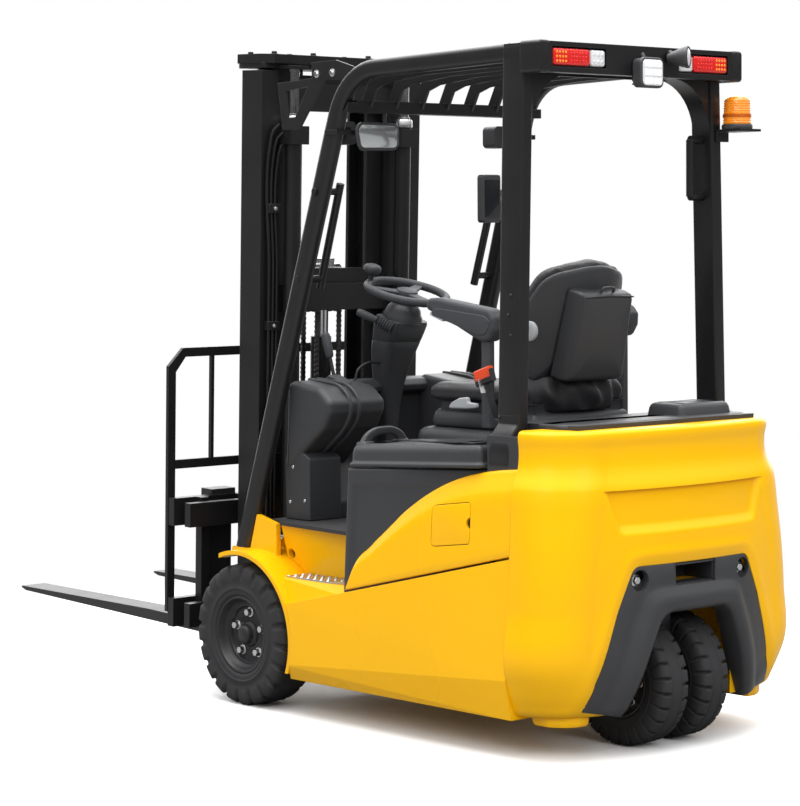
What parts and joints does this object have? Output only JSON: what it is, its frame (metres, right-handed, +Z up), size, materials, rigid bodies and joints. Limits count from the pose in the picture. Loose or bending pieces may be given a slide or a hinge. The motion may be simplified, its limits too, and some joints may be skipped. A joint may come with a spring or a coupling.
{
  "type": "three-wheel electric forklift",
  "caption": "Compact electric counterbalance forklift with a telescoping mast, side-shifting forks, barred overhead guard, seat on a hinged hood and a steered rear axle.",
  "frame": {"origin": "on the floor, under the middle of the truck's length and width", "axes": "+X forward along the forks, +Y to the operator's left, +Z up"},
  "size_m": [3.0509, 1.09, 2.1115],
  "materials": {
    "yellow_paint": "gloss machine paint",
    "cast_yellow": "gloss machine paint on a casting",
    "black_paint": "satin black paint",
    "dark_plastic": "grained moulded plastic",
    "rubber_mat": "ribbed floor rubber",
    "tyre_rubber": "solid tyre rubber",
    "step_aluminium": "raised tread plate",
    "battery_case": "painted steel trough",
    "red_lens": "clear red lens",
    "amber_lens": "clear amber lens",
    "lamp_body": "dark cast lamp body",
    "mirror_face": "mirror in a plastic shell",
    "seat_cover": "soft grained vinyl",
    "bright_rod": "ground and plated steel",
    "chain_steel": "oiled steel"
  },
  "bodies": {
    "chassis": {"chassis_frame": "yellow_paint", "front_frame": "yellow_paint", "drive_hubs": "black_paint", "floor_plate": "rubber_mat", "step_treads": "step_aluminium", "front_cowl": "dark_plastic", "steering_column": "dark_plastic", "battery": "battery_case", "side_covers": "dark_plastic", "side_panels": "yellow_paint", "counterweight": "cast_yellow", "rear_fender": "dark_plastic", "deck_cover": "dark_plastic", "overhead_guard": "black_paint", "roof": "black_paint", "tail_lamps": "red_lens", "work_lamps": "lamp_body", "beacon": "amber_lens", "guard_fittings": "black_paint", "rear_mirror": "mirror_face"},
    "hood_lid": {"hood": "dark_plastic", "seat_base": "black_paint", "seat_pads": "seat_cover", "seat_shell": "dark_plastic", "armrests": "dark_plastic"},
    "flap": {"charge_flap": "yellow_paint"},
    "front_wheel_left": {"tyre_left": "tyre_rubber", "rim_left": "black_paint"},
    "front_wheel_right": {"tyre_right": "tyre_rubber", "rim_right": "black_paint"},
    "turntable": {"steer_unit": "black_paint"},
    "rear_wheels": {"rear_tyres": "tyre_rubber", "rear_rims": "black_paint"},
    "hand_wheel": {"steering_wheel": "dark_plastic"},
    "mast_outer": {"outer_rails": "black_paint", "outer_ties": "black_paint", "lift_cylinders": "black_paint"},
    "mast_middle": {"middle_rails": "black_paint", "middle_ties": "black_paint", "lift_rods": "bright_rod"},
    "mast_inner": {"inner_rails": "black_paint", "inner_ties": "black_paint", "free_lift_cylinder": "black_paint"},
    "ram": {"ram_head": "bright_rod", "lift_chains": "chain_steel"},
    "lift_carriage": {"carriage": "black_paint"},
    "shifter": {"shift_frame": "black_paint", "load_backrest": "black_paint", "forks": "black_paint"},
    "tilt_barrel_pair": {"tilt_barrels": "black_paint"},
    "tilt_rod_pair": {"tilt_rods": "bright_rod"}
  },
  "joints": [
    {"name": "wheel_left_spin", "type": "hinge", "parent": "chassis", "child": "front_wheel_left", "pos_m": [-0.02463, 0.462, 0.228], "axis": [0, 1, 0], "continuous": true},
    {"name": "wheel_right_spin", "type": "hinge", "parent": "chassis", "child": "front_wheel_right", "pos_m": [-0.02463, -0.462, 0.228], "axis": [0, 1, 0], "continuous": true},
    {"name": "steer", "type": "hinge", "parent": "chassis", "child": "turntable", "pos_m": [-1.33463, 0, 0.191], "axis": [0, 0, 1], "range_deg": [-90, 90]},
    {"name": "rear_spin", "type": "hinge", "parent": "turntable", "child": "rear_wheels", "pos_m": [-1.33463, 0, 0.191], "axis": [0, 1, 0], "continuous": true},
    {"name": "hand_wheel_turn", "type": "hinge", "parent": "chassis", "child": "hand_wheel", "pos_m": [-0.24722, 0, 1.31049], "axis": [-0.2756, 0, 0.9613], "continuous": true},
    {"name": "hood_open", "type": "hinge", "parent": "chassis", "child": "hood_lid", "pos_m": [-1.14263, 0, 0.915], "axis": [0, -1, 0], "range_deg": [0, 55]},
    {"name": "flap_open", "type": "hinge", "parent": "chassis", "child": "flap", "pos_m": [-0.94263, 0.52123, 0.65132], "axis": [0, 0.0576, -0.9983], "range_deg": [0, 100]},
    {"name": "mast_tilt", "type": "hinge", "parent": "chassis", "child": "mast_outer", "pos_m": [0.01537, 0, 0.19], "axis": [0, 1, 0], "range_deg": [-3, 7]},
    {"name": "tilt_barrel_swing", "type": "hinge", "parent": "chassis", "child": "tilt_barrel_pair", "pos_m": [-0.35463, 0, 0.52], "axis": [0, 1, 0], "range_deg": [-4, 4]},
    {"name": "tilt_rod_slide", "type": "slide", "parent": "tilt_barrel_pair", "child": "tilt_rod_pair", "axis": [1, 0, 0.0059], "range_m": [-0.03, 0.06]},
    {"name": "mast_lift", "type": "slide", "parent": "mast_outer", "child": "mast_middle", "axis": [-0.0349, 0, 0.9994], "range_m": [0, 1.45]},
    {"name": "inner_lift", "type": "slide", "parent": "mast_middle", "child": "mast_inner", "axis": [-0.0349, 0, 0.9994], "range_m": [0, 1.45]},
    {"name": "free_lift", "type": "slide", "parent": "mast_inner", "child": "lift_carriage", "axis": [-0.0349, 0, 0.9994], "range_m": [-0.13, 1.15]},
    {"name": "ram_lift", "type": "slide", "parent": "mast_inner", "child": "ram", "axis": [-0.0349, 0, 0.9994], "range_m": [-0.065, 0.575]},
    {"name": "side_shift", "type": "slide", "parent": "lift_carriage", "child": "shifter", "axis": [0, 1, 0], "range_m": [-0.08, 0.08]}
  ],
  "couplings": [
    {"joint": "tilt_barrel_swing", "follows": "mast_tilt", "ratio": 0.18017},
    {"joint": "tilt_rod_slide", "follows": "mast_tilt", "m_per_rad": 0.32946},
    {"joint": "inner_lift", "follows": "mast_lift", "ratio": 1},
    {"joint": "ram_lift", "follows": "free_lift", "ratio": 0.5}
  ]
}
